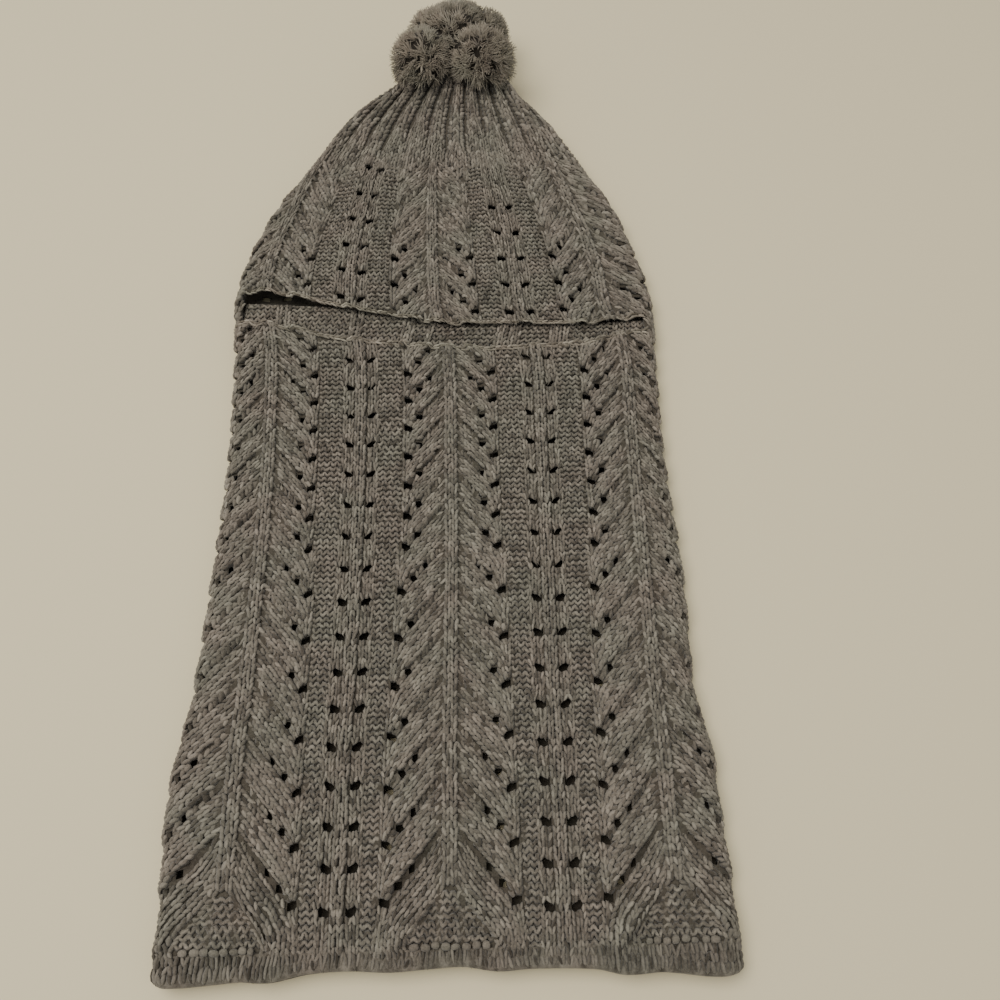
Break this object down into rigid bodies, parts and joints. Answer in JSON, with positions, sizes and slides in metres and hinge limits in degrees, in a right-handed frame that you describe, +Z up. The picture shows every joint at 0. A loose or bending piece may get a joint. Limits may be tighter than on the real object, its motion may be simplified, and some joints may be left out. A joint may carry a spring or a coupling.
{
  "type": "snood hood",
  "caption": "Knitted lace cowl and hood in one tube, lying flat, with a face opening across the front, a turned hem and a yarn pompom on the gathered crown.",
  "frame": {"origin": "under the middle of the whole object, on the surface it lies on", "axes": "+X to the right across the cloth, +Y from the hem to the pompom, +Z up from the surface, out of the front layer"},
  "size_m": [0.2666, 0.5996, 0.0538],
  "materials": {
    "knit_wool": "grey heather wool, lace knit",
    "hem_wool": "grey heather wool, turned knit hem",
    "edging_wool": "grey heather wool, bound-off edge",
    "pompom_wool": "grey heather wool, cut pile"
  },
  "bodies": {
    "root": {"knit_tube": "knit_wool", "crown": "knit_wool", "hem_band": "hem_wool", "brim_edging": "edging_wool", "neckline_edging": "edging_wool", "pompom": "pompom_wool"}
  },
  "joints": []
}
